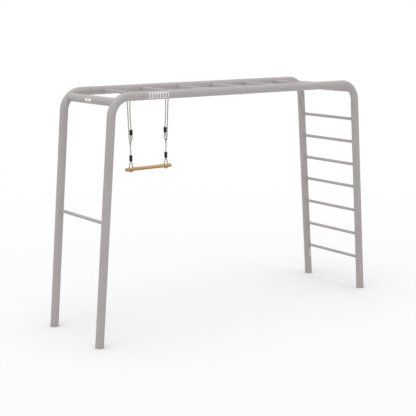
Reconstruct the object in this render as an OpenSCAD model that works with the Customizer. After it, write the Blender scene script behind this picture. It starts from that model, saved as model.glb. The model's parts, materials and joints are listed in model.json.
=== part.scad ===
// Garden monkey bars: two bent-tube side frames joined by overhead rungs,
// a ladder at one end and a tumble bar at the other, with a rope trapeze.
// Millimetres. X runs along the rails, the ladder is at +X, Z is up.
// The origin is on the ground, in the middle of the four feet.

/* [Main tubes] */
// Outside diameter of the main tubes
tube_d = 76; // [72:1:80]
// Wall thickness of the main tubes
tube_wall = 2; // [1.5:0.5:3]

/* [Side frames] */
// Height of the top rails' centre line
rail_height = 2160; // [2100:10:2250]
// Distance between the two side frames, centre to centre
rail_spacing = 792; // [700:4:900]
// Straight length of a top rail between its two bends
rail_straight = 2556; // [2540:4:2640]
// Centre-line radius of the corner bends
bend_radius = 178; // [170:1:200]
// Outward lean of the legs in degrees
leg_splay = 4.65; // [3:0.05:6]
// Distance from the middle to the joint between rail and corner
rail_joint_x = 1180; // [1160:5:1190]
// Height of the joint between corner and lower leg
leg_joint_z = 1206; // [1190:2:1220]

/* [End cross tubes] */
// Angle round the bend at which a cross tube meets it
cross_angle = 42; // [38:1:46]

/* [Rungs] */
// Outside diameter of every rung
rung_d = 30; // [26:1:34]
// Wall thickness of the rungs
rung_wall = 2; // [1.5:0.5:3]
// Distance between neighbouring monkey rungs
rung_pitch = 420; // [400:5:425]
// Height of the lowest ladder rung
ladder_first = 332; // [310:2:340]
// Spacing of the ladder rungs on the lower legs
ladder_pitch_low = 252; // [246:2:254]
// Spacing of the ladder rungs on the corners
ladder_pitch_high = 236; // [220:2:240]
// Height of the tumble bar
tumble_bar_z = 1088; // [1060:2:1100]

/* [Feet] */
// Diameter of the foot caps
foot_d = 78; // [77:1:84]
// Height of the foot cap's rim under the tube
foot_rim = 20; // [12:1:24]

/* [Trapeze] */
// Where the trapeze hangs, measured from the middle of the rungs
trapeze_y = -45; // [-100:5:100]
// Length of the wooden bar
bar_length = 500; // [470:10:560]
// Diameter of the wooden bar
bar_d = 32; // [28:1:36]
// Distance between the two ropes at the bar
bar_rope_spacing = 386; // [380:2:390]

/* [Hidden] */

$fn = 48;
NEAR = -1;
FAR = 1;
LEFT = -1;
RIGHT = 1;
SIDES = [NEAR, FAR];
ENDS = [LEFT, RIGHT];

grey_paint = [0.60, 0.57, 0.56];
zinc = [0.72, 0.73, 0.75];
grey_plastic = [0.52, 0.50, 0.49];
white_plastic = [0.93, 0.93, 0.92];
rope_grey = [0.66, 0.65, 0.62];
black_plastic = [0.06, 0.06, 0.06];
pine = [0.72, 0.47, 0.20];

tube_r = tube_d / 2;
rung_r = rung_d / 2;
side_y = rail_spacing / 2;
// Clearance between pieces that slide into each other
slip = 0.3;
// Overshoot of a cutting shape past the face it cuts
over = 1;
// Seam left between two tubes that meet over a sleeve
joint_gap = 0.8;
// Fusing bands at the ends of the bends
band_height = 0.2;
band_width = 3;

// Side frame geometry, in the plane of one side frame
bend_x = rail_straight / 2;
bend_z = rail_height - bend_radius;
bend_sweep = 90 - leg_splay;
leg_top_x = bend_x + bend_radius * cos(leg_splay);
leg_top_z = bend_z + bend_radius * sin(leg_splay);
function leg_x(z) = leg_top_x + (leg_top_z - z) * tan(leg_splay);

// Where the end cross tubes run
cross_x = bend_x + bend_radius * sin(cross_angle);
cross_z = bend_z + bend_radius * cos(cross_angle);

// Rung places
monkey_xs = [for (i = [0:5]) (i - 2.5) * rung_pitch];
ladder_low_count = 3;
function ladder_z(i) = ladder_first + min(i, ladder_low_count) * ladder_pitch_low
    + max(i - ladder_low_count, 0) * ladder_pitch_high;
ladder_zs = [for (i = [0:6]) ladder_z(i)];
// How far a rung reaches past the rail's centre line
rung_insert = 20;
rung_length = rail_spacing + 2 * rung_insert;

// Joint sleeves and their screws
sleeve_r = tube_r - tube_wall - slip;
sleeve_wall = 3;
sleeve_length = 160;
sleeve_screw_offset = 40;
sleeve_screw_d = 8;
sleeve_screw_reach = 15;
lock_screw_d = 6;
lock_screw_reach = tube_r - rung_r + 6;

// Cross tube fixings. The saddle's thin tips are trimmed this far from the bend's centre
cross_trim = 6;
plug_length = 12;
plug_inset = 52;
cross_bolt_d = 10;
cross_bolt_reach = tube_r + plug_inset + plug_length / 2 + 8;

// Rung collars
collar_r = 20;
collar_height = 8;

// Badge on the left cross tube
badge_length = 96;
badge_width = 22;
badge_y = 8;
badge_thickness = 1.2;

// Trapeze
rope_d = 10;
rope_r = rope_d / 2;
rope_sides = 10;
trapeze_x = (monkey_xs[0] + monkey_xs[1]) / 2;
// Radius of the rope's turn over the rung, to the rope's centre line
turn_radius = rung_r + rope_r + slip;
ferrule_r = 15;
ferrule_waist = 1.6;
ferrule_bore_r = rope_r + slip;
ferrule_bore_depth = 15;
eye_leg_x = 5.6;
upper_ferrule_x = 23.5;
upper_ferrule_length = 48;
upper_ferrule_z = -380;
lower_ferrule_length = 54;
// Clearance at the two places where the lower rope flexes
flex_gap = 2.5;
hitch_z = 1718;
rope_end_z = 1600;
hitch_r = 15;
hitch_length = 57;
bar_z = 1471;
bar_hole_x = 20;
bar_hole_d = 11;
// The holes widen below the bar's centre, where the rope turns under it
countersink_top = -9;
countersink_bottom = -17;
countersink_r = 9.5;
bar_chamfer = 3;

// Rope routes, as [x, z] from the rung's centre, x towards the trapeze's middle
inner_strand_route = [
    [20.3, -10], [20.3, -28], [17.6, -54], [15, -92], [14, -145],
    [15, -200], [18.2, -260], [22.8, -308], [23.5, -330], [23.5, -345]
];
outer_strand_route = [
    [-20.3, -10], [-20.3, -28], [-16.6, -52], [-13.6, -78], [-11.6, -105],
    [-9.6, -150], [-7.6, -200], [-5.2, -260], [-2.4, -320], [0.5, -376]
];
// One leg of the eye that ties the bar, from the bar's centre: ferrule to underside
bar_eye_leg = [
    [5.6, 84], [5.6, 71], [8.4, 58], [14.5, 38], [20, 18],
    [20, -9], [18.9, -14.4], [15.9, -18.9], [11.4, -21.9], [6, -23]
];

// ---- Shared shapes ----

module tube(r, wall, length) {
    difference() {
        cylinder(r = r, h = length);
        translate([0, 0, -over])
            cylinder(r = r - wall, h = length + 2 * over);
    }
}

// Low band round a tube of radius r, across the origin's X-Y plane. It is a modelling
// aid that makes a straight and a curved length one solid, not a feature of the tube.
module fusing_band(r) {
    cylinder(r = r + band_height, h = band_width, center = true);
}

// Solid of radius r along one end of a side frame, from rail joint to leg joint,
// with a fusing band at each end of the bend
module corner_core(r, extra) {
    leg_run = (leg_top_z - leg_joint_z) / cos(leg_splay) - joint_gap / 2;
    rail_run = bend_x - rail_joint_x - joint_gap / 2;
    translate([bend_x, 0, rail_height])
        rotate([0, -90, 0]) {
            cylinder(r = r, h = rail_run + extra);
            fusing_band(r);
        }
    translate([bend_x, 0, bend_z])
        rotate([90, -leg_splay, 0]) {
            rotate_extrude(angle = bend_sweep)
                translate([bend_radius, 0])
                    circle(r = r);
            translate([bend_radius, 0, 0])
                rotate([90, 0, 0]) {
                    cylinder(r = r, h = leg_run + extra);
                    fusing_band(r);
                }
        }
}

// Puts children at a frame end: right as drawn, left mirrored
module at_end(end) {
    mirror([end == LEFT ? 1 : 0, 0, 0])
        children();
}

// Puts children on a leg's axis, Z up along the leg, +X outwards
module on_leg(end, side, z) {
    at_end(end)
        translate([leg_x(z), side * side_y, z])
            rotate([0, -leg_splay, 0])
                children();
}

// Puts children on a rail's axis, Z along +X
module on_rail(side, x) {
    translate([x, side * side_y, rail_height])
        rotate([0, 90, 0])
            children();
}

// A bar across the frame, centred on the X-Z point given
module across(x, z) {
    translate([x, 0, z])
        rotate([90, 0, 0])
            children();
}

// Screw pointing down -Z with its head's seat at the origin
module button_screw(d, reach) {
    head_r = d * 0.9;
    head_h = d * 0.55;
    dome_r = d * 1.05;
    translate([0, 0, -reach])
        cylinder(d = d, h = reach, $fn = 32);
    difference() {
        intersection() {
            cylinder(r = head_r, h = head_h, $fn = 32);
            translate([0, 0, head_h - dome_r])
                sphere(r = dome_r);
        }
        translate([0, 0, head_h * 0.45])
            cylinder(d = d * 0.65, h = head_h, $fn = 6);
    }
}

module screw_hole(d, reach) {
    translate([0, 0, -reach - over])
        cylinder(d = d + 2 * slip, h = reach + 2 * over, $fn = 32);
}

// Puts a screw on the inner curve of the frame, head on the tube's surface
module rail_screw_place(side, x) {
    translate([x, side * side_y, rail_height - tube_r])
        rotate([180, 0, 0])
            children();
}

module leg_screw_place(end, side, z, along) {
    on_leg(end, side, z)
        translate([-tube_r, 0, along])
            rotate([0, -90, 0])
                children();
}

module each_rail_joint_screw() {
    for (side = SIDES, x = [-rail_joint_x, 0, rail_joint_x], step = ENDS)
        rail_screw_place(side, x + step * sleeve_screw_offset)
            children();
}

module each_leg_joint_screw() {
    for (end = ENDS, side = SIDES, step = ENDS)
        leg_screw_place(end, side, leg_joint_z, step * sleeve_screw_offset)
            children();
}

module each_rail_lock_screw() {
    for (side = SIDES, x = monkey_xs)
        rail_screw_place(side, x)
            children();
}

module each_leg_lock_screw() {
    for (side = SIDES, z = ladder_zs)
        leg_screw_place(RIGHT, side, z, 0)
            children();
    for (side = SIDES)
        leg_screw_place(LEFT, side, tumble_bar_z, 0)
            children();
}

module each_cross_bolt() {
    for (end = ENDS, side = SIDES)
        at_end(end)
            translate([cross_x, side * (side_y + tube_r), cross_z])
                rotate([-90 * side, 0, 0])
                    children();
}

// ---- Cutting shapes for the side frames ----

module rung_core(extra) {
    cylinder(r = rung_r + extra, h = rung_length + 2 * extra, center = true);
}

module rail_cuts() {
    for (x = monkey_xs)
        across(x, rail_height)
            rung_core(slip);
    each_rail_joint_screw()
        screw_hole(sleeve_screw_d, sleeve_screw_reach);
    each_rail_lock_screw()
        screw_hole(lock_screw_d, lock_screw_reach);
}

module leg_cuts() {
    for (z = ladder_zs)
        across(leg_x(z), z)
            rung_core(slip);
    across(-leg_x(tumble_bar_z), tumble_bar_z)
        rung_core(slip);
    each_leg_joint_screw()
        screw_hole(sleeve_screw_d, sleeve_screw_reach);
    each_leg_lock_screw()
        screw_hole(lock_screw_d, lock_screw_reach);
}

module cross_bolt_cuts() {
    each_cross_bolt()
        screw_hole(cross_bolt_d, cross_bolt_reach);
}

// ---- Side frames ----

module top_rail(end, side) {
    start = (end == LEFT ? -rail_joint_x : 0) + joint_gap / 2;
    color(grey_paint)
        difference() {
            on_rail(side, start)
                tube(tube_r, tube_wall, rail_joint_x - joint_gap);
            rail_cuts();
        }
}

module corner(end, side) {
    color(grey_paint)
        difference() {
            at_end(end)
                translate([0, side * side_y, 0])
                    difference() {
                        corner_core(tube_r, 0);
                        corner_core(tube_r - tube_wall, over);
                    }
            rail_cuts();
            leg_cuts();
            cross_bolt_cuts();
        }
}

module lower_leg(end, side) {
    leg_run = leg_joint_z / cos(leg_splay) + tube_r;
    color(grey_paint)
        difference() {
            on_leg(end, side, leg_joint_z)
                translate([0, 0, -leg_run])
                    tube(tube_r, tube_wall, leg_run - joint_gap / 2);
            leg_cuts();
            translate([end * leg_x(0) - tube_d, side * side_y - tube_d, -tube_d])
                cube([2 * tube_d, 2 * tube_d, tube_d + foot_rim]);
        }
}

module foot(end, side) {
    plug_height = 45;
    color(grey_plastic) {
        intersection() {
            on_leg(end, side, 0)
                cylinder(r = foot_d / 2, h = 4 * foot_rim, center = true);
            translate([end * leg_x(0) - tube_d, side * side_y - tube_d, 0])
                cube([2 * tube_d, 2 * tube_d, foot_rim]);
        }
        difference() {
            on_leg(end, side, 0)
                cylinder(r = sleeve_r, h = plug_height);
            on_leg(end, side, 0)
                cylinder(r = sleeve_r - sleeve_wall, h = plug_height + over);
            translate([end * leg_x(0) - tube_d, side * side_y - tube_d, -tube_d])
                cube([2 * tube_d, 2 * tube_d, tube_d + foot_rim]);
        }
    }
}

// ---- Sleeves inside the joints, and their screws ----

module joint_sleeve() {
    translate([0, 0, -sleeve_length / 2])
        tube(sleeve_r, sleeve_wall, sleeve_length);
}

module rail_sleeves(xs) {
    color(zinc)
        difference() {
            for (side = SIDES, x = xs)
                on_rail(side, x)
                    joint_sleeve();
            each_rail_joint_screw()
                screw_hole(sleeve_screw_d, sleeve_screw_reach);
        }
}

module leg_sleeves() {
    color(zinc)
        difference() {
            for (end = ENDS, side = SIDES)
                on_leg(end, side, leg_joint_z)
                    joint_sleeve();
            each_leg_joint_screw()
                screw_hole(sleeve_screw_d, sleeve_screw_reach);
        }
}

module sleeve_screws() {
    color(zinc) {
        each_rail_joint_screw()
            button_screw(sleeve_screw_d, sleeve_screw_reach);
        each_leg_joint_screw()
            button_screw(sleeve_screw_d, sleeve_screw_reach);
    }
}

// ---- End cross tubes ----

module cross_tube(end) {
    color(grey_paint)
        difference() {
            at_end(end)
                across(cross_x, cross_z)
                    translate([0, 0, cross_trim - side_y])
                        tube(tube_r, tube_wall, rail_spacing - 2 * cross_trim);
            for (side = SIDES)
                at_end(end)
                    translate([bend_x, side * side_y, bend_z])
                        rotate([90, 0, 0])
                            rotate_extrude()
                                translate([bend_radius, 0])
                                    circle(r = tube_r + slip);
        }
}

module cross_tube_plugs() {
    color(zinc)
        difference() {
            for (end = ENDS, side = SIDES)
                at_end(end)
                    across(cross_x, cross_z)
                        translate([0, 0, side * (side_y - plug_inset)])
                            cylinder(r = sleeve_r, h = plug_length, center = true);
            cross_bolt_cuts();
        }
}

module cross_tube_bolts() {
    color(grey_paint)
        each_cross_bolt()
            button_screw(cross_bolt_d, cross_bolt_reach);
}

module badge() {
    color(white_plastic)
        intersection() {
            translate([0, badge_y, 0])
                across(-cross_x, cross_z)
                    difference() {
                        cylinder(r = tube_r + badge_thickness, h = badge_length, center = true);
                        cylinder(r = tube_r, h = badge_length + over, center = true);
                    }
            translate([-cross_x - tube_d, badge_y, cross_z])
                rotate([90, 0, 90])
                    linear_extrude(height = tube_d)
                        badge_outline();
        }
}

module badge_outline() {
    straight = badge_length - badge_width;
    square([straight, badge_width], center = true);
    for (step = ENDS)
        translate([step * straight / 2, 0])
            circle(d = badge_width);
}

// ---- Rungs ----

module rung_tube() {
    translate([0, 0, -rung_length / 2])
        tube(rung_r, rung_wall, rung_length);
}

module monkey_rung(index) {
    color(grey_paint)
        difference() {
            across(monkey_xs[index - 1], rail_height)
                rung_tube();
            each_rail_lock_screw()
                screw_hole(lock_screw_d, lock_screw_reach);
        }
}

module ladder_rung(index) {
    z = ladder_zs[index - 1];
    color(grey_paint)
        difference() {
            across(leg_x(z), z)
                rung_tube();
            each_leg_lock_screw()
                screw_hole(lock_screw_d, lock_screw_reach);
        }
}

module tumble_bar() {
    color(grey_paint)
        difference() {
            across(-leg_x(tumble_bar_z), tumble_bar_z)
                rung_tube();
            each_leg_lock_screw()
                screw_hole(lock_screw_d, lock_screw_reach);
        }
}

// Two collars on a rung, before their ends are cut to the rails
module collar_pair() {
    reach = tube_r + collar_height;
    for (step = ENDS)
        translate([0, 0, step * (side_y - reach / 2)])
            difference() {
                cylinder(r = collar_r, h = reach, center = true);
                cylinder(r = rung_r + slip, h = reach + over, center = true);
            }
}

module monkey_rung_collars() {
    color(grey_plastic)
        difference() {
            for (x = monkey_xs)
                across(x, rail_height)
                    collar_pair();
            for (side = SIDES)
                on_rail(side, -rail_joint_x)
                    cylinder(r = tube_r + slip / 3, h = 2 * rail_joint_x);
        }
}

module leg_collars(end, heights) {
    color(grey_plastic)
        difference() {
            for (z = heights)
                across(end * leg_x(z), z)
                    collar_pair();
            for (side = SIDES)
                on_leg(end, side, 0)
                    cylinder(r = tube_r + slip / 3, h = rail_height);
        }
}

module rung_lock_screws() {
    color(zinc) {
        each_rail_lock_screw()
            button_screw(lock_screw_d, lock_screw_reach);
        each_leg_lock_screw()
            button_screw(lock_screw_d, lock_screw_reach);
    }
}

// ---- Trapeze ----

// Puts children in one rope's plane, origin on the rung, +X towards the middle
module at_rung(end) {
    translate([trapeze_x, trapeze_y, rail_height])
        mirror([end == RIGHT ? 1 : 0, 0, 0])
            translate([-rung_pitch / 2, 0, 0])
                children();
}

// Puts children under one rope at the bar, origin at the given height
module at_bar_rope(end, z) {
    translate([trapeze_x + end * bar_rope_spacing / 2, trapeze_y, z])
        children();
}

function unit(v) = v / norm(v);
function route_dir(route, i) = unit(route[min(i + 1, len(route) - 1)] - route[max(i - 1, 0)]);
function rope_ring(p, t) = [
    for (k = [0:rope_sides - 1])
        let (a = 360 * k / rope_sides)
        [p[0] - rope_r * sin(a) * t[1], rope_r * cos(a), p[1] + rope_r * sin(a) * t[0]]
];

// Round tube swept along a route that lies in the X-Z plane
module rope(route) {
    count = len(route);
    n = rope_sides;
    points = [
        for (i = [0:count - 1])
            each rope_ring(route[i], route_dir(route, i))
    ];
    first_cap = [[for (k = [0:n - 1]) k]];
    last_cap = [[for (k = [n - 1:-1:0]) (count - 1) * n + k]];
    walls = [
        for (i = [0:count - 2], k = [0:n - 1])
            [i * n + k, (i + 1) * n + k, (i + 1) * n + (k + 1) % n, i * n + (k + 1) % n]
    ];
    polyhedron(points = points, faces = concat(first_cap, walls, last_cap));
}

module rope_turn(end) {
    color(rope_grey)
        at_rung(end)
            rotate([90, 0, 0])
                rotate_extrude(angle = 180)
                    translate([turn_radius, 0])
                        circle(r = rope_r);
}

module rope_strands(end) {
    color(rope_grey)
        at_rung(end) {
            rope(inner_strand_route);
            rope(outer_strand_route);
        }
}

// Waisted sleeve with one bore at the top and two at the bottom
module ferrule(length) {
    lobe_r = (length / 4) * (length / 4) / (2 * ferrule_waist) + ferrule_waist / 2;
    difference() {
        rotate_extrude()
            intersection() {
                square([ferrule_r, length]);
                union() {
                    translate([ferrule_r - lobe_r, length / 4])
                        circle(r = lobe_r, $fn = 240);
                    translate([ferrule_r - lobe_r, length * 3 / 4])
                        circle(r = lobe_r, $fn = 240);
                }
            }
        translate([0, 0, length - ferrule_bore_depth])
            cylinder(r = ferrule_bore_r, h = ferrule_bore_depth + over);
        for (step = ENDS)
            translate([step * eye_leg_x, 0, -over])
                cylinder(r = ferrule_bore_r, h = ferrule_bore_depth + over);
    }
}

module upper_ferrule(end) {
    color(black_plastic)
        at_rung(end)
            translate([upper_ferrule_x, 0, upper_ferrule_z])
                ferrule(upper_ferrule_length);
}

// The knot's outer shape: a rounded lump between the strands and the lower rope
module hitch(end) {
    color(rope_grey)
        at_bar_rope(end, hitch_z + flex_gap)
            rotate_extrude() {
                square([hitch_r / 2, hitch_length]);
                translate([0, hitch_r / 2])
                    square([hitch_r, hitch_length - hitch_r]);
                translate([hitch_r / 2, hitch_r / 2])
                    circle(r = hitch_r / 2);
                translate([hitch_r / 2, hitch_length - hitch_r / 2])
                    circle(r = hitch_r / 2);
            }
}

module lower_rope(end) {
    color(rope_grey)
        at_bar_rope(end, rope_end_z)
            cylinder(r = rope_r, h = hitch_z - rope_end_z);
}

module lower_ferrule(end) {
    color(black_plastic)
        at_bar_rope(end, rope_end_z - flex_gap - lower_ferrule_length)
            ferrule(lower_ferrule_length);
}

module bar_eye(end) {
    count = len(bar_eye_leg);
    down = [for (p = bar_eye_leg) [-p[0], p[1]]];
    up = [for (i = [count - 1:-1:0]) bar_eye_leg[i]];
    color(rope_grey)
        at_bar_rope(end, bar_z)
            rope(concat(down, up));
}

module trapeze_bar() {
    color(pine)
        difference() {
            translate([trapeze_x - bar_length / 2, trapeze_y, bar_z])
                rotate([0, 90, 0]) {
                    cylinder(r1 = bar_d / 2 - bar_chamfer, r2 = bar_d / 2, h = bar_chamfer);
                    translate([0, 0, bar_chamfer])
                        cylinder(r = bar_d / 2, h = bar_length - 2 * bar_chamfer);
                    translate([0, 0, bar_length - bar_chamfer])
                        cylinder(r1 = bar_d / 2, r2 = bar_d / 2 - bar_chamfer, h = bar_chamfer);
                }
            for (end = ENDS, step = ENDS)
                at_bar_rope(end, bar_z)
                    translate([step * bar_hole_x, 0, 0]) {
                        cylinder(d = bar_hole_d, h = 2 * bar_d, center = true);
                        translate([0, 0, countersink_bottom])
                            cylinder(
                                r1 = countersink_r,
                                r2 = bar_hole_d / 2,
                                h = countersink_top - countersink_bottom
                            );
                    }
        }
}

top_rail(LEFT, NEAR);  // near_left_rail
top_rail(RIGHT, NEAR);  // near_right_rail
top_rail(LEFT, FAR);  // far_left_rail
top_rail(RIGHT, FAR);  // far_right_rail
corner(LEFT, NEAR);  // near_left_corner
corner(RIGHT, NEAR);  // near_right_corner
corner(LEFT, FAR);  // far_left_corner
corner(RIGHT, FAR);  // far_right_corner
lower_leg(LEFT, NEAR);  // near_left_leg
lower_leg(RIGHT, NEAR);  // near_right_leg
lower_leg(LEFT, FAR);  // far_left_leg
lower_leg(RIGHT, FAR);  // far_right_leg
rail_sleeves([0]);  // rail_middle_sleeves
rail_sleeves([-rail_joint_x, rail_joint_x]);  // rail_end_sleeves
leg_sleeves();
sleeve_screws();
cross_tube(LEFT);  // left_cross_tube
cross_tube(RIGHT);  // right_cross_tube
cross_tube_plugs();
cross_tube_bolts();
monkey_rung(1);  // monkey_rung_1
monkey_rung(2);  // monkey_rung_2
monkey_rung(3);  // monkey_rung_3
monkey_rung(4);  // monkey_rung_4
monkey_rung(5);  // monkey_rung_5
monkey_rung(6);  // monkey_rung_6
ladder_rung(1);  // ladder_rung_1
ladder_rung(2);  // ladder_rung_2
ladder_rung(3);  // ladder_rung_3
ladder_rung(4);  // ladder_rung_4
ladder_rung(5);  // ladder_rung_5
ladder_rung(6);  // ladder_rung_6
ladder_rung(7);  // ladder_rung_7
tumble_bar();
monkey_rung_collars();
leg_collars(RIGHT, ladder_zs);  // ladder_rung_collars
leg_collars(LEFT, [tumble_bar_z]);  // tumble_bar_collars
rung_lock_screws();
foot(LEFT, NEAR);  // near_left_foot
foot(RIGHT, NEAR);  // near_right_foot
foot(LEFT, FAR);  // far_left_foot
foot(RIGHT, FAR);  // far_right_foot
badge();
rope_turn(LEFT);  // left_rope_turn
rope_turn(RIGHT);  // right_rope_turn
rope_strands(LEFT);  // left_rope_strands
rope_strands(RIGHT);  // right_rope_strands
upper_ferrule(LEFT);  // left_upper_ferrule
upper_ferrule(RIGHT);  // right_upper_ferrule
hitch(LEFT);  // left_hitch
hitch(RIGHT);  // right_hitch
lower_rope(LEFT);  // left_lower_rope
lower_rope(RIGHT);  // right_lower_rope
lower_ferrule(LEFT);  // left_lower_ferrule
lower_ferrule(RIGHT);  // right_lower_ferrule
bar_eye(LEFT);  // left_bar_eye
bar_eye(RIGHT);  // right_bar_eye
trapeze_bar();
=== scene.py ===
"""Looks for the garden monkey bars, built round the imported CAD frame. Metres, +Z up."""

import json
import math

import bmesh
import bpy
import numpy as np
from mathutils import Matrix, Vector


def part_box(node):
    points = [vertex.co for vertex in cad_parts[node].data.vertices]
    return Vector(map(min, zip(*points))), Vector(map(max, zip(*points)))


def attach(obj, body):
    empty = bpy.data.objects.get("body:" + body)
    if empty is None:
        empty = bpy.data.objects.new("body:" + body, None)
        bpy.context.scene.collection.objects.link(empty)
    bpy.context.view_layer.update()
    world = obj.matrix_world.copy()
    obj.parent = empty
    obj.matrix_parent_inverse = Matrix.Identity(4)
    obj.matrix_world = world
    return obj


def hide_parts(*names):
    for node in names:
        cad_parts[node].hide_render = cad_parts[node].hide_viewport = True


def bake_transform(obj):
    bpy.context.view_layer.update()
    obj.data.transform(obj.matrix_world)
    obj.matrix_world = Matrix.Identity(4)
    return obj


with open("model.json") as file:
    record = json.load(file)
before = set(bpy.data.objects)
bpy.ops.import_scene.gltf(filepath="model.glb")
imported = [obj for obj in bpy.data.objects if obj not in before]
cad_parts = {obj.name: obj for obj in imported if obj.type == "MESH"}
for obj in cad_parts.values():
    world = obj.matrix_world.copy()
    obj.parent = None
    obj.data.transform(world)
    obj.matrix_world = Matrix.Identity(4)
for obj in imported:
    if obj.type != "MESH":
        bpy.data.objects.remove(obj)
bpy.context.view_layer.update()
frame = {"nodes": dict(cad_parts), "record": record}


# ---- Places taken from the frame ----


def centre(node):
    low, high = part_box(node)
    return (low + high) / 2


TUBE_R = 0.038
RUNG_R = 0.015
ROPE_R = 0.005
SIDES = ("left", "right")
# Which way is towards the middle of the trapeze from each rope
INWARD = {"left": 1, "right": -1}
RUNG_OF = {"left": "monkey_rung_1", "right": "monkey_rung_2"}

TRAPEZE_Y = centre("trapeze_bar").y
BAR_Z = centre("trapeze_bar").z
RUNG_Z = centre("monkey_rung_1").z


def at_rung(side, points):
    """Rope points [x, y, z] from a rung's centre, x towards the trapeze's middle."""
    rung_x = centre(RUNG_OF[side]).x
    return [(rung_x + INWARD[side] * x, TRAPEZE_Y + y, RUNG_Z + z) for x, y, z in points]


def at_bar(side, points):
    """Rope points [x, y, z] from the bar under one rope, x towards the trapeze's middle."""
    rope_x = centre(side + "_lower_rope").x
    return [(rope_x + INWARD[side] * x, TRAPEZE_Y + y, BAR_Z + z) for x, y, z in points]


# ---- Camera ----


def make_camera():
    camera = bpy.data.objects.new("camera", bpy.data.cameras.new("camera"))
    bpy.context.scene.collection.objects.link(camera)
    camera.location = (-5.9722, -7.5538, 2.8393)
    camera.rotation_euler = (math.radians(79.108), 0, math.radians(-37.773))
    camera.data.lens = 86.77
    camera.data.sensor_width = 36
    camera.data.clip_end = 200
    bpy.context.scene.camera = camera


make_camera()


# ---- Mesh helpers ----

# Edges sharper than this are drawn crisp
SHARP_ANGLE = math.radians(32)


def new_piece(name, vertices, faces):
    mesh = bpy.data.meshes.new(name)
    mesh.from_pydata([tuple(v) for v in vertices], [], [tuple(f) for f in faces])
    mesh.validate()
    for polygon in mesh.polygons:
        polygon.use_smooth = True
    piece = bpy.data.objects.new(name, mesh)
    bpy.context.scene.collection.objects.link(piece)
    return piece


# Samples taken between two points of a line before it is resampled evenly
LINE_SAMPLES = 24


def smooth_line(points, step):
    """A centripetal Catmull-Rom line through the points, resampled about step apart."""
    p = np.array(points, float)
    p = np.vstack([2 * p[0] - p[1], p, 2 * p[-1] - p[-2]])
    knots = np.concatenate(
        [[0], np.cumsum(np.sqrt(np.linalg.norm(np.diff(p, axis=0), axis=1)))]
    )
    line = []
    for i in range(1, len(p) - 2):
        t0, t1, t2, t3 = knots[i - 1 : i + 3]
        for t in np.linspace(t1, t2, LINE_SAMPLES, endpoint=False):
            a1 = ((t1 - t) * p[i - 1] + (t - t0) * p[i]) / (t1 - t0)
            a2 = ((t2 - t) * p[i] + (t - t1) * p[i + 1]) / (t2 - t1)
            a3 = ((t3 - t) * p[i + 1] + (t - t2) * p[i + 2]) / (t3 - t2)
            b1 = ((t2 - t) * a1 + (t - t0) * a2) / (t2 - t0)
            b2 = ((t3 - t) * a2 + (t - t1) * a3) / (t3 - t1)
            line.append(((t2 - t) * b1 + (t - t1) * b2) / (t2 - t1))
    line.append(p[-2])
    line = np.array(line)
    along = np.concatenate([[0], np.cumsum(np.linalg.norm(np.diff(line, axis=0), axis=1))])
    count = max(2, math.ceil(along[-1] / step) + 1)
    at = np.linspace(0, along[-1], count)
    return np.stack([np.interp(at, along, line[:, k]) for k in range(3)], axis=1)


# ---- Laid rope: three strands twisted together ----

RING_STEP = 0.0013
RING_POINTS = 30
STRANDS = 3
# Length of one full turn of the three strands round each other
LAY_LENGTH = 0.030
# Each strand's own radius and distance from the rope's centre, as shares of the rope's
STRAND_SHARE = 0.5
# The fibres stand proud of the rope's stated size by this factor
FUZZ = 1.08


def rope_radius(angle):
    """Distance from the rope's centre to the surface of its three strands."""
    between = 2 * math.pi / STRANDS
    off = (angle + between / 2) % between - between / 2
    centre_r = ROPE_R * (1 - STRAND_SHARE)
    strand_r = ROPE_R * STRAND_SHARE
    inside = np.maximum(strand_r**2 - (centre_r * np.sin(off)) ** 2, 0)
    return FUZZ * (centre_r * np.cos(off) + np.sqrt(inside))


def rope_frames(line):
    """Tangents and a side direction carried along the line without twisting."""
    tangent = np.gradient(line, axis=0)
    tangent /= np.linalg.norm(tangent, axis=1)[:, None]
    side = np.zeros_like(line)
    first = np.cross(tangent[0], [0, 1, 0])
    if np.linalg.norm(first) < 0.1:
        first = np.cross(tangent[0], [1, 0, 0])
    side[0] = first / np.linalg.norm(first)
    for i in range(1, len(line)):
        carried = side[i - 1] - tangent[i] * np.dot(side[i - 1], tangent[i])
        side[i] = carried / np.linalg.norm(carried)
    return side, np.cross(tangent, side)


def rope_mesh(line):
    """Vertices, faces and per-vertex (along, round) of a laid rope on a line."""
    side, across = rope_frames(line)
    along = np.concatenate([[0], np.cumsum(np.linalg.norm(np.diff(line, axis=0), axis=1))])
    angle = np.linspace(0, 2 * math.pi, RING_POINTS, endpoint=False)
    vertices, lay = [], []
    for i, point in enumerate(line):
        turn = 2 * math.pi * along[i] / LAY_LENGTH
        radius = rope_radius(angle)[:, None]
        direction = (
            np.cos(angle + turn)[:, None] * side[i] + np.sin(angle + turn)[:, None] * across[i]
        )
        vertices.extend(point + radius * direction)
        lay.extend((along[i], a) for a in angle)
    faces = [
        (
            i * RING_POINTS + k,
            (i + 1) * RING_POINTS + k,
            (i + 1) * RING_POINTS + (k + 1) % RING_POINTS,
            i * RING_POINTS + (k + 1) % RING_POINTS,
        )
        for i in range(len(line) - 1)
        for k in range(RING_POINTS)
    ]
    last = (len(line) - 1) * RING_POINTS
    faces.append(tuple(range(RING_POINTS)))
    faces.append(tuple(last + k for k in reversed(range(RING_POINTS))))
    return vertices, faces, lay


def rope_piece(name, lines):
    """One piece holding a laid rope along each line, with its lay kept as a UV map."""
    vertices, faces, lay = [], [], []
    for line in lines:
        line_vertices, line_faces, line_lay = rope_mesh(line)
        faces.extend(tuple(len(vertices) + k for k in face) for face in line_faces)
        vertices.extend(line_vertices)
        lay.extend(line_lay)
    piece = new_piece(name, vertices, faces)
    outwards(piece)
    uv = piece.data.uv_layers.new(name="lay")
    for loop in piece.data.loops:
        along, round_it = lay[loop.vertex_index]
        uv.data[loop.index].uv = (along / LAY_LENGTH, round_it / (2 * math.pi) * STRANDS)
    return piece


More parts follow.
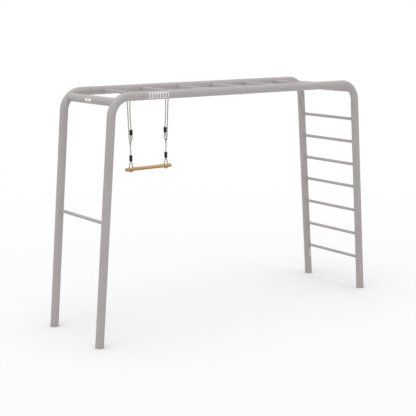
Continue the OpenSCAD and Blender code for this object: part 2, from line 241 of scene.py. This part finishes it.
def outwards(piece):
    """Turns every face's normal outwards."""
    work = bmesh.new()
    work.from_mesh(piece.data)
    bmesh.ops.recalc_face_normals(work, faces=work.faces)
    work.to_mesh(piece.data)
    work.free()


# ---- The trapeze's rope routes, repeated from the CAD design ----

# From the rung's centre: [towards the trapeze's middle, up]
INNER_STRAND = [
    (0.0203, -0.010), (0.0203, -0.028), (0.0176, -0.054), (0.0150, -0.092),
    (0.0140, -0.145), (0.0150, -0.200), (0.0182, -0.260), (0.0228, -0.308),
    (0.0235, -0.330), (0.0235, -0.345),
]
OUTER_STRAND = [
    (-0.0203, -0.010), (-0.0203, -0.028), (-0.0166, -0.052), (-0.0136, -0.078),
    (-0.0116, -0.105), (-0.0096, -0.150), (-0.0076, -0.200), (-0.0052, -0.260),
    (-0.0024, -0.320), (0.0005, -0.376),
]
TURN_R = 0.0203
TURN_STEPS = 12
# From the bar's centre, under one rope: [sideways, up], ferrule to underside
BAR_EYE_LEG = [
    (0.0056, 0.084), (0.0056, 0.071), (0.0084, 0.058), (0.0145, 0.038), (0.0200, 0.018),
    (0.0200, -0.009), (0.0189, -0.0144), (0.0159, -0.0189), (0.0114, -0.0219), (0.006, -0.023),
]
# Through the knot, from the outer strand's end to the lower rope
KNOT_PASS = [
    (0.0003, -0.390), (0.0012, -0.407), (0.0038, -0.421), (0.0088, -0.4325), (0.0155, -0.4425),
]
# The lower rope's waves, from the bar's centre: [towards the middle, across, up]
LOWER_ROPE = [
    (-0.0040, 0.0, 0.2515), (-0.0015, 0.0, 0.2465), (0.0014, 0.0, 0.240),
    (0.0026, 0.0002, 0.233), (0.0018, 0.0006, 0.226), (-0.0008, 0.0008, 0.218),
    (-0.0032, 0.0004, 0.209), (-0.0038, 0.0, 0.197), (-0.0022, -0.0006, 0.181),
    (-0.0006, -0.0004, 0.164), (-0.0004, 0.0, 0.147), (0.0, 0.0, 0.135), (0.0, 0.0, 0.1235),
]


def loop_route():
    turn = [
        (TURN_R * math.cos(math.pi * i / TURN_STEPS), TURN_R * math.sin(math.pi * i / TURN_STEPS))
        for i in range(TURN_STEPS + 1)
    ]
    flat = list(reversed(INNER_STRAND)) + turn + OUTER_STRAND + KNOT_PASS
    return [(x, 0, z) for x, z in flat]


def eye_route():
    down = [(-x, z) for x, z in BAR_EYE_LEG]
    flat = down + list(reversed(BAR_EYE_LEG))
    return [(x, 0, z) for x, z in flat]


# The knot, from the rung's centre: [towards the middle, across, up]. The eye comes out of
# the upper ferrule and goes round the outer strand, and an end lies beside the lower rope
KNOT_EYE = [
    (0.0291, 0.0, -0.370), (0.0293, 0.0, -0.384), (0.0315, 0.0, -0.396),
    (0.0333, 0.0010, -0.409), (0.0323, 0.0040, -0.4215), (0.0275, 0.0085, -0.433),
    (0.0195, 0.0112, -0.4415), (0.0110, 0.0098, -0.447), (0.0058, 0.0005, -0.448),
    (0.0085, -0.0092, -0.4425), (0.0145, -0.0112, -0.4315), (0.0172, -0.0070, -0.4195),
    (0.0170, -0.0015, -0.408), (0.0172, 0.0, -0.396), (0.0179, 0.0, -0.384),
    (0.0179, 0.0, -0.370),
]
# Here across is towards the side that the end lies on: behind on the left, before on the right
KNOT_END = [
    (0.0186, 0.0098, -0.450), (0.0202, 0.0092, -0.456), (0.0188, 0.0094, -0.465),
    (0.0150, 0.0096, -0.4735),
]
KNOT_END_SIDE = {"left": 1, "right": -1}


def make_ropes(side):
    """The loop over the rung, the knot, the lower rope and the eye through the bar."""
    loop_line = smooth_line(at_rung(side, loop_route()), RING_STEP)
    loop = rope_piece(side + "_loop_rope", [loop_line])
    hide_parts(side + "_rope_turn", side + "_rope_strands")
    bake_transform(loop)

    knot = rope_piece(side + "_knot", [smooth_line(at_rung(side, KNOT_EYE), RING_STEP)])
    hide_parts(side + "_hitch")
    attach(knot, "trapeze_ropes")

    end_route = [(x, KNOT_END_SIDE[side] * y, z) for x, y, z in KNOT_END]
    knot_end = rope_piece(side + "_knot_end", [smooth_line(at_rung(side, end_route), RING_STEP)])
    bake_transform(knot_end)
    lower_line = smooth_line(at_bar(side, LOWER_ROPE), RING_STEP)
    lower = rope_piece(side + "_hanging_rope", [lower_line])
    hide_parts(side + "_lower_rope")
    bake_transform(lower)

    eye_line = smooth_line(at_bar(side, eye_route()), RING_STEP)
    eye = rope_piece(side + "_eye_rope", [eye_line])
    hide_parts(side + "_bar_eye")
    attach(eye, "bar")
    return {
        "loop": (loop, loop_line),
        "knot": (knot, None),
        "knot_end": (knot_end, None),
        "lower": (lower, lower_line),
        "eye": (eye, eye_line),
    }


ropes = {side: make_ropes(side) for side in SIDES}


# ---- Ferrules: black moulded sleeves crimped on the rope ----

FERRULE_STEPS = 56
FERRULE_R = 0.015
# The mouth's radius and depth, flared so that the rope can lean 20 degrees in it
MOUTH = [(0.0088, 0.0), (0.0079, 0.0008), (0.0075, 0.0034), (0.0060, 0.0070), (0.0056, 0.0100)]
# Share of the height and of the radius, from the bottom up
FERRULE_OUTLINE = [
    (0.000, 0.60), (0.006, 0.74), (0.030, 0.83), (0.070, 0.88), (0.130, 0.93),
    (0.210, 0.965), (0.300, 0.970), (0.380, 0.955), (0.450, 0.915), (0.500, 0.875),
    (0.530, 0.862), (0.560, 0.875), (0.600, 0.925), (0.650, 0.970), (0.720, 0.990),
    (0.800, 1.000), (0.880, 1.000), (0.940, 0.990), (0.975, 0.950), (0.993, 0.870),
    (1.000, 0.660),
]
# The parting line of the mould stands proud by this much, on two sides of the bands
PARTING_HEIGHT = 0.00025
# Rings narrower than this share of the sleeve are its ends and mouth, with no parting line
BAND_SHARE = 0.7


def make_ferrule(side, which, body):
    """A sleeve with two rounded bands, a parting line and a mouth for the rope."""
    node = f"{side}_{which}_ferrule"
    low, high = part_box(node)
    x, y = (low.x + high.x) / 2, (low.y + high.y) / 2
    height = high.z - low.z
    rings = [(FERRULE_R * share, low.z + height * up) for up, share in FERRULE_OUTLINE]
    rings += [(radius, high.z - depth) for radius, depth in MOUTH]
    vertices = []
    for radius, z in rings:
        for k in range(FERRULE_STEPS):
            angle = 2 * math.pi * k / FERRULE_STEPS
            ridge = PARTING_HEIGHT if k % (FERRULE_STEPS // 2) == 0 else 0
            reach = radius + ridge if radius > FERRULE_R * BAND_SHARE else radius
            vertices.append((x + reach * math.cos(angle), y + reach * math.sin(angle), z))
    faces = [
        (
            i * FERRULE_STEPS + k,
            i * FERRULE_STEPS + (k + 1) % FERRULE_STEPS,
            (i + 1) * FERRULE_STEPS + (k + 1) % FERRULE_STEPS,
            (i + 1) * FERRULE_STEPS + k,
        )
        for i in range(len(rings) - 1)
        for k in range(FERRULE_STEPS)
    ]
    faces.append(tuple(reversed(range(FERRULE_STEPS))))
    last = (len(rings) - 1) * FERRULE_STEPS
    faces.append(tuple(last + k for k in range(FERRULE_STEPS)))
    piece = new_piece(node + "_sleeve", vertices, faces)
    outwards(piece)
    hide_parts(node)
    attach(piece, body)
    return piece


ferrules = {
    side: {
        "upper": make_ferrule(side, "upper", "trapeze_ropes"),
        "lower": make_ferrule(side, "lower", "bar"),
    }
    for side in SIDES
}


# ---- Materials ----


def linear(red, green, blue):
    """An sRGB colour, 0 to 255, as the linear colour that the shader wants."""
    shares = [c / 255 for c in (red, green, blue)]
    return tuple(c / 12.92 if c < 0.04045 else ((c + 0.055) / 1.055) ** 2.4 for c in shares)


def shade(colour, times):
    return tuple(min(1, c * times) for c in colour) + (1,)


class Material:
    """A Principled material with short ways to add textures to it."""

    def __init__(self, name, roughness, metallic=0.0, specular=0.5):
        self.made = bpy.data.materials.new(name)
        self.made.use_nodes = True
        self.nodes = self.made.node_tree.nodes
        self.links = self.made.node_tree.links
        self.shader = self.nodes["Principled BSDF"]
        self.shader.inputs["Roughness"].default_value = roughness
        self.shader.inputs["Metallic"].default_value = metallic
        self.shader.inputs["Specular IOR Level"].default_value = specular
        self.place = self.nodes.new("ShaderNodeTexCoord").outputs["Object"]

    def stretched(self, scale, source=None, rotation=(0, 0, 0)):
        mapping = self.nodes.new("ShaderNodeMapping")
        mapping.inputs["Scale"].default_value = scale
        mapping.inputs["Rotation"].default_value = rotation
        self.links.new(source or self.place, mapping.inputs["Vector"])
        return mapping.outputs["Vector"]

    def noise(self, scale, detail=3.0, source=None, distortion=0.0):
        noise = self.nodes.new("ShaderNodeTexNoise")
        noise.inputs["Scale"].default_value = scale
        noise.inputs["Detail"].default_value = detail
        noise.inputs["Distortion"].default_value = distortion
        self.links.new(source or self.place, noise.inputs["Vector"])
        return noise.outputs["Fac"]

    def ramp(self, factor, stops):
        """A colour ramp from (position, colour) stops."""
        ramp = self.nodes.new("ShaderNodeValToRGB")
        elements = ramp.color_ramp.elements
        while len(elements) < len(stops):
            elements.new(0.5)
        for element, (position, colour) in zip(elements, stops):
            element.position = position
            element.color = colour
        self.links.new(factor, ramp.inputs["Fac"])
        return ramp.outputs["Color"]

    def spread(self, factor, low, high):
        """The factor's middle range mapped to low..high."""
        remap = self.nodes.new("ShaderNodeMapRange")
        remap.inputs["From Min"].default_value = 0.3
        remap.inputs["From Max"].default_value = 0.7
        remap.inputs["To Min"].default_value = low
        remap.inputs["To Max"].default_value = high
        self.links.new(factor, remap.inputs["Value"])
        return remap.outputs["Result"]

    def multiply(self, first, second):
        mix = self.nodes.new("ShaderNodeMix")
        mix.data_type = "RGBA"
        mix.blend_type = "MULTIPLY"
        mix.inputs["Factor"].default_value = 1.0
        self.links.new(first, mix.inputs["A"])
        self.links.new(second, mix.inputs["B"])
        return mix.outputs["Result"]

    def axes(self, source):
        """The separate X, Y and Z of a vector."""
        split = self.nodes.new("ShaderNodeSeparateXYZ")
        self.links.new(source, split.inputs["Vector"])
        return split.outputs

    def colour(self, output):
        self.links.new(output, self.shader.inputs["Base Color"])

    def roughness(self, output):
        self.links.new(output, self.shader.inputs["Roughness"])

    def bump(self, *layers):
        """Bump from (height, depth in metres) layers, the first one deepest."""
        normal = None
        for height, depth in layers:
            bump = self.nodes.new("ShaderNodeBump")
            bump.inputs["Strength"].default_value = 1.0
            bump.inputs["Distance"].default_value = depth
            self.links.new(height, bump.inputs["Height"])
            if normal:
                self.links.new(normal, bump.inputs["Normal"])
            normal = bump.outputs["Normal"]
        self.links.new(normal, self.shader.inputs["Normal"])


def powder_coat(name, colour):
    """Satin powder coat: a fine orange peel, faint cloudiness and uneven gloss."""
    coat = Material(name, roughness=0.48, specular=0.42)
    clouds = coat.noise(3.5, detail=4)
    coat.colour(coat.ramp(clouds, [(0.3, shade(colour, 0.965)), (0.7, shade(colour, 1.03))]))
    coat.roughness(coat.spread(coat.noise(45, detail=5), 0.42, 0.56))
    peel = coat.noise(420, detail=2)
    grains = coat.noise(1900, detail=1)
    coat.bump((peel, 0.00012), (grains, 0.00003))
    return coat.made


def moulded_plastic(name, colour, roughness, specular=0.45):
    """Moulded plastic with a spark-eroded texture and slightly uneven gloss."""
    plastic = Material(name, roughness=roughness, specular=specular)
    tone = plastic.noise(18, detail=4)
    plastic.colour(
        plastic.ramp(tone, [(0.35, shade(colour, 0.94)), (0.65, shade(colour, 1.06))])
    )
    plastic.roughness(plastic.spread(plastic.noise(90), roughness - 0.05, roughness + 0.07))
    plastic.bump((plastic.noise(1300, detail=3), 0.00006))
    return plastic.made


def zinc_plate(name):
    """Bright zinc: cloudy spangle and fine drawing marks."""
    zinc = Material(name, roughness=0.34, metallic=1.0)
    spangle = zinc.noise(160, detail=2, distortion=1.5)
    base = (0.60, 0.61, 0.63)
    zinc.colour(zinc.ramp(spangle, [(0.3, shade(base, 0.88)), (0.7, shade(base, 1.10))]))
    zinc.roughness(zinc.spread(zinc.noise(300), 0.28, 0.46))
    zinc.bump((zinc.noise(900), 0.00004))
    return zinc.made


# The yarns' slant across each strand, as a rotation of the rope's lay map
YARN_SLANT = (0, 0, 0.6)


def laid_rope(name, colour):
    """Twisted synthetic rope: yarns along each strand, painted shade in the grooves, a painted
    highlight on the strands' crests, a little fuzz.
    """
    rope = Material(name, roughness=0.82, specular=0.2)
    uv = rope.nodes.new("ShaderNodeUVMap")
    uv.uv_map = "lay"
    across = rope.nodes.new("ShaderNodeMath")
    across.operation = "PINGPONG"
    across.inputs[1].default_value = 0.5
    rope.links.new(rope.axes(uv.outputs["UV"])["Y"], across.inputs[0])
    yarn_place = rope.stretched((9, 16, 1), uv.outputs["UV"], YARN_SLANT)
    yarns = rope.noise(1.0, detail=2, source=yarn_place)
    fibre_place = rope.stretched((30, 60, 1), uv.outputs["UV"], YARN_SLANT)
    fibres = rope.noise(1.0, detail=4, source=fibre_place)
    # Painted shade darkens the grooves between the strands and a painted highlight lightens each
    # strand's crest
    tone = rope.ramp(
        across.outputs["Value"],
        [(0.0, shade(colour, 1.08)), (0.30, shade(colour, 1.0)), (0.5, shade(colour, 0.50))],
    )
    worn = rope.ramp(yarns, [(0.3, shade((1, 1, 1), 0.80)), (0.7, shade((1, 1, 1), 1.0))])
    rope.colour(rope.multiply(tone, worn))
    rope.bump((yarns, 0.0006), (fibres, 0.0002))
    return rope.made


# Heights from the bar's centre where the painted shade along the underside is full and where it has
# gone, and how far its edge wanders
UNDERSIDE_SHADE_FULL = -0.006
UNDERSIDE_SHADE_GONE = 0.002
UNDERSIDE_SHADE_WANDER = 0.004


def turned_wood(name):
    """Oiled softwood with its grain along the bar, rings on the ends, fine pores and painted shade
    along the underside.
    """
    wood = Material(name, roughness=0.46, specular=0.4)
    grain_place = wood.stretched((1.4, 60, 60))
    streaks = wood.noise(1.0, detail=6, source=grain_place, distortion=0.6)
    rings = wood.nodes.new("ShaderNodeTexWave")
    rings.wave_type = "RINGS"
    rings.rings_direction = "X"
    rings.inputs["Scale"].default_value = 55
    rings.inputs["Distortion"].default_value = 3.0
    rings.inputs["Detail"].default_value = 3
    off_centre = wood.nodes.new("ShaderNodeMapping")
    off_centre.inputs["Location"].default_value = (0, -TRAPEZE_Y + 0.021, -BAR_Z + 0.034)
    off_centre.inputs["Scale"].default_value = (0.12, 1, 1)
    wood.links.new(wood.place, off_centre.inputs["Vector"])
    wood.links.new(off_centre.outputs["Vector"], rings.inputs["Vector"])
    ring_tone = wood.ramp(
        rings.outputs["Fac"],
        [
            (0.0, (0.64, 0.40, 0.155, 1)),
            (0.72, (0.58, 0.34, 0.12, 1)),
            (1.0, (0.45, 0.24, 0.072, 1)),
        ],
    )
    streak_tone = wood.ramp(streaks, [(0.3, (0.78, 0.72, 0.66, 1)), (0.7, (1, 1, 1, 1))])
    # Painted shade: a dark band along the underside, with a wandering edge
    height = wood.nodes.new("ShaderNodeMath")
    height.operation = "MULTIPLY_ADD"
    height.inputs[1].default_value = UNDERSIDE_SHADE_WANDER
    wood.links.new(streaks, height.inputs[0])
    wood.links.new(wood.axes(wood.place)["Z"], height.inputs[2])
    low = wood.nodes.new("ShaderNodeMapRange")
    low.inputs["From Min"].default_value = BAR_Z + UNDERSIDE_SHADE_FULL
    low.inputs["From Max"].default_value = BAR_Z + UNDERSIDE_SHADE_GONE
    wood.links.new(height.outputs["Value"], low.inputs["Value"])
    underside_shade = wood.ramp(low.outputs["Result"], [(0.0, (0.42, 0.40, 0.42, 1)), (1.0, (1, 1, 1, 1))])
    wood.colour(wood.multiply(wood.multiply(ring_tone, streak_tone), underside_shade))
    wood.roughness(wood.spread(streaks, 0.40, 0.58))
    pores = wood.noise(1.0, detail=3, source=wood.stretched((40, 900, 900)))
    wood.bump((streaks, 0.00025), (pores, 0.0001))
    return wood.made


GREY_PAINT = (0.358, 0.334, 0.332)
GREY_PLASTIC = (0.345, 0.323, 0.318)
BLACK_PLASTIC = (0.008, 0.008, 0.008)
MATERIALS = {
    "tube_paint": powder_coat("tube_paint", GREY_PAINT),
    "rung_paint": powder_coat("rung_paint", GREY_PAINT),
    "zinc_steel": zinc_plate("zinc_steel"),
    "foot_plastic": moulded_plastic("foot_plastic", GREY_PLASTIC, roughness=0.6),
    "collar_plastic": moulded_plastic("collar_plastic", GREY_PLASTIC, roughness=0.55),
    "badge_plastic": moulded_plastic("badge_plastic", linear(236, 236, 234), roughness=0.3),
    "rope": laid_rope("rope", linear(182, 179, 171)),
    "ferrule_plastic": moulded_plastic("ferrule_plastic", BLACK_PLASTIC, 0.5, specular=0.3),
    "bar_wood": turned_wood("bar_wood"),
}


def dress(piece, slot):
    """Gives a piece the one material of the record's slot that it stands for."""
    piece.data.materials.clear()
    piece.data.materials.append(MATERIALS[slot])


for part in frame["record"]["subparts"]:
    dress(frame["nodes"][part["node"]], part["material_slot"])
for side in SIDES:
    for rope_part, _ in ropes[side].values():
        dress(rope_part, "rope")
    for sleeve in ferrules[side].values():
        dress(sleeve, "ferrule_plastic")


# ---- Markings: plain ladder pictograms on a rail and a leg, a plain badge ----

# Heights of a marking's two sides over the surface under it
MARKING_LIFT = 0.00005
MARKING_THICKNESS = 0.00025
PATCH_STEP = math.radians(3)
# Along the rail, and half the height as an angle round it
RAIL_MARK_ENDS = (-1.089, -0.884)
RAIL_MARK_HALF_ANGLE = math.radians(40)
RAIL_MARK_RAIL_ANGLE = math.radians(8)
RAIL_MARK_RUNGS = 8
RAIL_MARK_RUNG_WIDTH = 0.0065
# Up the far right leg from its foot, and half the width as an angle round it
LEG_MARK_ENDS = (0.192, 0.285)
LEG_MARK_HALF_ANGLE = math.radians(15)
LEG_MARK_RAIL_ANGLE = math.radians(4)
LEG_MARK_RUNGS = 6
LEG_MARK_RUNG_WIDTH = 0.0035
# The legs lean outwards from the vertical by this much
LEG_LEAN = math.radians(4.65)
BADGE_MARK_LENGTH = 0.026
BADGE_MARK_HALF_ANGLE = math.radians(7)
BADGE_THICKNESS = 0.0012
MOUNT_PLACES = {mount["name"]: mount["pos_m"] for mount in frame["record"]["mounts"]}


def on_near_rail(along, angle, radius):
    axis = centre("near_left_rail")
    return (along, axis.y - radius * math.cos(angle), axis.z + radius * math.sin(angle))


def on_left_cross_tube(along, angle, radius):
    axis = centre("left_cross_tube")
    return (axis.x - radius * math.cos(angle), along, axis.z + radius * math.sin(angle))


def on_far_right_leg(along, angle, radius):
    foot = MOUNT_PLACES["far_right_foot"]
    across = radius * math.sin(angle)
    return (
        foot[0] - along * math.sin(LEG_LEAN) + across * math.cos(LEG_LEAN),
        foot[1] - radius * math.cos(angle),
        foot[2] + along * math.cos(LEG_LEAN) + across * math.sin(LEG_LEAN),
    )


def wrapped_patch(place, radius, ends, angles):
    """A thin closed patch round a tube. Angle 0 faces -Y, or -X on the cross tube."""
    rows = max(2, math.ceil((angles[1] - angles[0]) / PATCH_STEP)) + 1
    vertices = [
        place(along, angles[0] + (angles[1] - angles[0]) * i / (rows - 1), r)
        for r in (radius + MARKING_LIFT, radius + MARKING_THICKNESS)
        for i in range(rows)
        for along in ends
    ]
    layer = 2 * rows
    faces = [(0, layer, layer + 1, 1), (layer - 2, layer - 1, 2 * layer - 1, 2 * layer - 2)]
    for a in range(0, layer - 2, 2):
        inner = (a, a + 1, a + 3, a + 2)
        faces.append(inner)
        faces.append(tuple(layer + k for k in reversed(inner)))
        faces.append((a, a + 2, layer + a + 2, layer + a))
        faces.append((a + 1, layer + a + 1, layer + a + 3, a + 3))
    return vertices, faces


def make_marking(name, place, radius, patches, slot):
    vertices, faces = [], []
    for ends, angles in patches:
        patch_vertices, patch_faces = wrapped_patch(place, radius, ends, angles)
        faces.extend(tuple(len(vertices) + k for k in face) for face in patch_faces)
        vertices.extend(patch_vertices)
    marking = new_piece(name, vertices, faces)
    outwards(marking)
    marking.data.set_sharp_from_angle(angle=SHARP_ANGLE)
    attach(marking, "frame")
    dress(marking, slot)


def ladder_pictogram(ends, half_angle, rail_angle, rungs, rung_width):
    """Two rails along the tube, joined by short rungs round it."""
    inner = half_angle - rail_angle
    pitch = (ends[1] - ends[0] - rung_width) / (rungs - 1)
    starts = [ends[0] + i * pitch for i in range(rungs)]
    rails = [(ends, (inner, half_angle)), (ends, (-half_angle, -inner))]
    return rails + [((start, start + rung_width), (-inner, inner)) for start in starts]


make_marking(
    "near_rail_decal",
    on_near_rail,
    TUBE_R,
    ladder_pictogram(
        RAIL_MARK_ENDS,
        RAIL_MARK_HALF_ANGLE,
        RAIL_MARK_RAIL_ANGLE,
        RAIL_MARK_RUNGS,
        RAIL_MARK_RUNG_WIDTH,
    ),
    "badge_plastic",
)
make_marking(
    "far_right_leg_label",
    on_far_right_leg,
    TUBE_R,
    ladder_pictogram(
        LEG_MARK_ENDS,
        LEG_MARK_HALF_ANGLE,
        LEG_MARK_RAIL_ANGLE,
        LEG_MARK_RUNGS,
        LEG_MARK_RUNG_WIDTH,
    ),
    "badge_plastic",
)
badge_y = centre("badge").y
badge_ends = (badge_y - BADGE_MARK_LENGTH / 2, badge_y + BADGE_MARK_LENGTH / 2)
make_marking(
    "badge_mark",
    on_left_cross_tube,
    TUBE_R + BADGE_THICKNESS,
    [(badge_ends, (-BADGE_MARK_HALF_ANGLE, BADGE_MARK_HALF_ANGLE))],
    "foot_plastic",
)


# ---- Floor and light ----

FLOOR_R = 30
FLOOR_RINGS = 24
FLOOR_SIDES = 64
# Just under the feet, so that their faces don't share its plane
FLOOR_Z = -0.0005
# Where the floor begins and ends its fade into the white surround
FADE_START = 2.0
FADE_END = 9.0


def make_floor():
    vertices = [(0, 0, 0)]
    for i in range(1, FLOOR_RINGS + 1):
        radius = FLOOR_R * (i / FLOOR_RINGS) ** 2
        for k in range(FLOOR_SIDES):
            angle = 2 * math.pi * k / FLOOR_SIDES
            vertices.append((radius * math.cos(angle), radius * math.sin(angle), FLOOR_Z))
    faces = [(0, 1 + k, 1 + (k + 1) % FLOOR_SIDES) for k in range(FLOOR_SIDES)]
    for i in range(FLOOR_RINGS - 1):
        a, b = 1 + i * FLOOR_SIDES, 1 + (i + 1) * FLOOR_SIDES
        for k in range(FLOOR_SIDES):
            after = (k + 1) % FLOOR_SIDES
            faces.append((a + k, b + k, b + after, a + after))
    floor = new_piece("floor", vertices, faces)
    made = bpy.data.materials.new("floor_white")
    made.use_nodes = True
    nodes, links = made.node_tree.nodes, made.node_tree.links
    nodes.clear()
    place = nodes.new("ShaderNodeTexCoord").outputs["Object"]
    far = nodes.new("ShaderNodeVectorMath")
    far.operation = "LENGTH"
    links.new(place, far.inputs[0])
    fade = nodes.new("ShaderNodeMapRange")
    fade.interpolation_type = "SMOOTHSTEP"
    fade.inputs["From Min"].default_value = FADE_START
    fade.inputs["From Max"].default_value = FADE_END
    links.new(far.outputs["Value"], fade.inputs["Value"])
    matte = nodes.new("ShaderNodeBsdfDiffuse")
    matte.inputs["Color"].default_value = (0.712, 0.712, 0.712, 1)
    glow = nodes.new("ShaderNodeEmission")
    glow.inputs["Color"].default_value = (1, 1, 1, 1)
    mix = nodes.new("ShaderNodeMixShader")
    links.new(fade.outputs["Result"], mix.inputs["Fac"])
    links.new(matte.outputs["BSDF"], mix.inputs[1])
    links.new(glow.outputs["Emission"], mix.inputs[2])
    out = nodes.new("ShaderNodeOutputMaterial")
    links.new(mix.outputs["Shader"], out.inputs["Surface"])
    floor.data.materials.append(made)


def make_light():
    world = bpy.data.worlds.new("studio")
    bpy.context.scene.world = world
    world.use_nodes = True
    background = world.node_tree.nodes["Background"]
    background.inputs["Color"].default_value = (1, 1, 1, 1)
    background.inputs["Strength"].default_value = 1.0
    key = bpy.data.objects.new("key", bpy.data.lights.new("key", "SUN"))
    key.data.energy = 1.2
    key.data.angle = math.radians(50)
    towards = Vector((0.12, 0.06, -1.0))
    key.rotation_euler = towards.to_track_quat("-Z", "Y").to_euler()
    bpy.context.scene.collection.objects.link(key)
    bpy.context.scene.view_settings.view_transform = "Standard"


make_floor()
make_light()


# ---- Smooth tubes, crisp edges ----

for node in frame["nodes"].values():
    node.data.set_sharp_from_angle(angle=SHARP_ANGLE)
